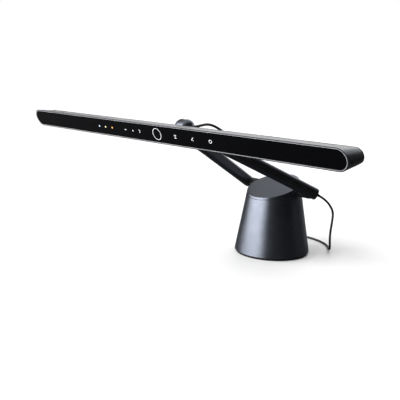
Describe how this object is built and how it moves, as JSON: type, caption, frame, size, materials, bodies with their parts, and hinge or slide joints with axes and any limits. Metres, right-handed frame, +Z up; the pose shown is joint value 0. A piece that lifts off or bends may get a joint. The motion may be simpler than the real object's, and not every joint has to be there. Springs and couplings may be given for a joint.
{
  "type": "desk light bar",
  "caption": "Free-standing light bar: long slim light head on a two-legged tilting arm over a weighted cone base with a slanted top, with touch panel, cable bow and coiled lead.",
  "frame": {"origin": "centre of the round foot, on the surface that the lamp stands on", "axes": "+X along the light bar, +Y from the user to the back of the lamp, +Z up"},
  "size_m": [0.602, 0.3699, 0.2218],
  "materials": {
    "aluminium": "plain extruded",
    "black_plastic": "fine satin moulded",
    "brass": "sintered bearing bronze",
    "cable": "satin jacket",
    "cast_iron": "as cast, painted",
    "circuit_board": "solder mask",
    "diffuser": "frosted",
    "gloss_black": "high gloss black panel",
    "head_metal": "satin, black anodised look",
    "led": "phosphor under clear resin",
    "plug_metal": "nickel plated",
    "rubber": "matte",
    "satin_metal": "satin, dark gunmetal",
    "steel": "plain",
    "trim_metal": "bright bevelled trim",
    "white_plastic": "matte white"
  },
  "bodies": {
    "base": {"base_shell": "satin_metal", "base_lid": "satin_metal", "base_weight": "cast_iron", "bottom_plate": "steel", "bottom_screws": "steel", "foot_pad": "rubber", "axle_bracket": "steel", "bracket_screws": "steel", "axle_bushes": "brass", "power_cord": "cable", "plug_lead": "cable", "cord_coil": "cable", "cord_tie": "black_plastic", "plug_grip": "black_plastic", "plug_shell": "plug_metal"},
    "arm": {"arm_axle": "steel", "friction_washers": "brass", "disc_springs": "steel", "axle_locknut": "steel", "axle_collar": "steel", "leg_right_beam": "satin_metal", "leg_right_cover_strip": "black_plastic", "leg_right_tail_cap": "black_plastic", "hub_spacer_right": "black_plastic", "hub_screw_right": "steel", "leg_left_beam": "satin_metal", "leg_left_cover_strip": "black_plastic", "leg_left_tail_cap": "black_plastic", "hub_spacer_left": "black_plastic", "hub_screw_left": "steel", "wishbone_nose": "satin_metal", "cable_grommet": "rubber", "cable_bow": "cable", "leg_cable": "cable", "strain_relief": "rubber"},
    "head": {"diffuser_lens": "diffuser", "driver_board": "circuit_board", "front_glass": "gloss_black", "glass_trim": "trim_metal", "head_back_cover": "black_plastic", "head_bracket": "satin_metal", "head_bracket_screws": "steel", "head_gland": "rubber", "head_housing": "head_metal", "led_board": "white_plastic", "led_chips": "led", "led_heat_sink": "aluminium", "reflector": "white_plastic", "tilt_nut": "steel", "tilt_pin": "steel", "tilt_washers": "brass", "touch_board": "circuit_board"}
  },
  "joints": [
    {"name": "arm_tilt", "type": "hinge", "parent": "base", "child": "arm", "pos_m": [0, 0.0115, 0.1036], "axis": [1, 0, 0], "range_deg": [-30, 22], "deforming": ["power_cord"]},
    {"name": "head_tilt", "type": "hinge", "parent": "arm", "child": "head", "pos_m": [0, -0.1955, 0.2088], "axis": [1, 0, 0], "range_deg": [-30, 30], "deforming": ["cable_bow"]}
  ]
}
